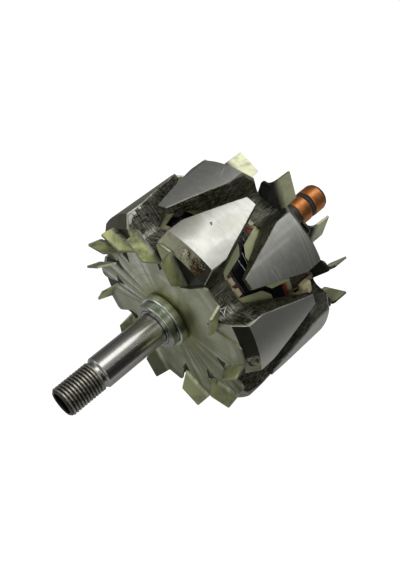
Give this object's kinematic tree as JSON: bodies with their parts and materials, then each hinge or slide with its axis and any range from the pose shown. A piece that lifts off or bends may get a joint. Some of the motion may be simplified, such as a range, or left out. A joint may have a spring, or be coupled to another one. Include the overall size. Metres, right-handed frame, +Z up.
{
  "type": "alternator rotor",
  "caption": "Claw-pole alternator rotor with folded-blade fans, threaded drive end shaft, wound field coil and two copper slip rings.",
  "frame": {"origin": "on the shaft axis at the collar's front face, where the drive end bearing rests", "axes": "+X along the shaft towards the slip rings, +Z up"},
  "size_m": [0.1646, 0.0994, 0.0994],
  "materials": {
    "turned_steel": "ground and turned",
    "zinc_plate": "bright zinc plate",
    "yellow_zinc_sheet": "yellow-green chromate on zinc",
    "machined_forging": "machined outside, varnished on the sides",
    "cream_nylon": "moulded",
    "enamelled_copper": "varnished enamel",
    "black_tape": "varnished",
    "olive_paper": "varnished paper",
    "black_moulding": "moulded",
    "ring_copper": "turned copper",
    "sleeve_cloth": "varnished woven glass",
    "solder": "soft solder"
  },
  "bodies": {
    "root": {"shaft": "turned_steel", "stop_collar": "zinc_plate", "bearing_spacer": "turned_steel", "drive_end_fan": "yellow_zinc_sheet", "slip_ring_end_fan": "yellow_zinc_sheet", "drive_end_pole_piece": "machined_forging", "slip_ring_end_pole_piece": "machined_forging", "pole_core": "machined_forging", "coil_bobbin": "cream_nylon", "field_winding": "enamelled_copper", "winding_tape": "black_tape", "drive_end_insulating_paper": "olive_paper", "slip_ring_end_insulating_paper": "olive_paper", "slip_ring_moulding": "black_moulding", "inner_slip_ring": "ring_copper", "outer_slip_ring": "ring_copper", "inner_ring_conductor": "ring_copper", "outer_ring_conductor": "ring_copper", "inner_field_lead": "enamelled_copper", "outer_field_lead": "enamelled_copper", "inner_lead_sleeve": "sleeve_cloth", "outer_lead_sleeve": "sleeve_cloth", "lead_solder_joints": "solder"}
  },
  "joints": []
}
